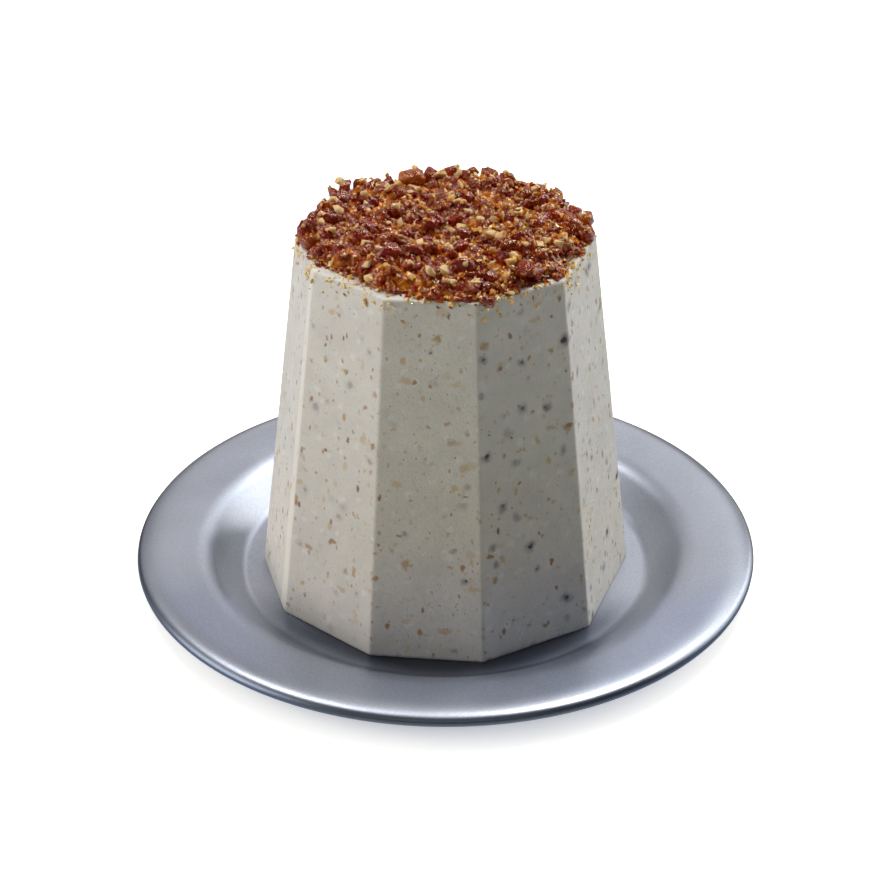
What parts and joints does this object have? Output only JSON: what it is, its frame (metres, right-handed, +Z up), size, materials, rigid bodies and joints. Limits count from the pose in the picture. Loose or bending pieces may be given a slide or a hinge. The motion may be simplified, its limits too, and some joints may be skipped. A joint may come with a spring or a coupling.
{
  "type": "nougat semifreddo on its saucer",
  "caption": "Tall faceted frozen dessert, flecked with nuts, under a layer of crushed caramel nut brittle, on a shallow metal saucer with a turned-down rim.",
  "frame": {"origin": "centre of the saucer's flat foot, on the surface that it stands on", "axes": "+Z up along the axis of the saucer and the dessert; the side that the picture shows faces -Y"},
  "size_m": [0.12, 0.12, 0.0757],
  "materials": {
    "satin_steel": "satin, slightly blue grey",
    "frozen_nougat_cream": null,
    "caramel_nut_brittle": null
  },
  "bodies": {
    "root": {"saucer": "satin_steel", "semifreddo": "frozen_nougat_cream", "brittle_topping": "caramel_nut_brittle"}
  },
  "joints": []
}
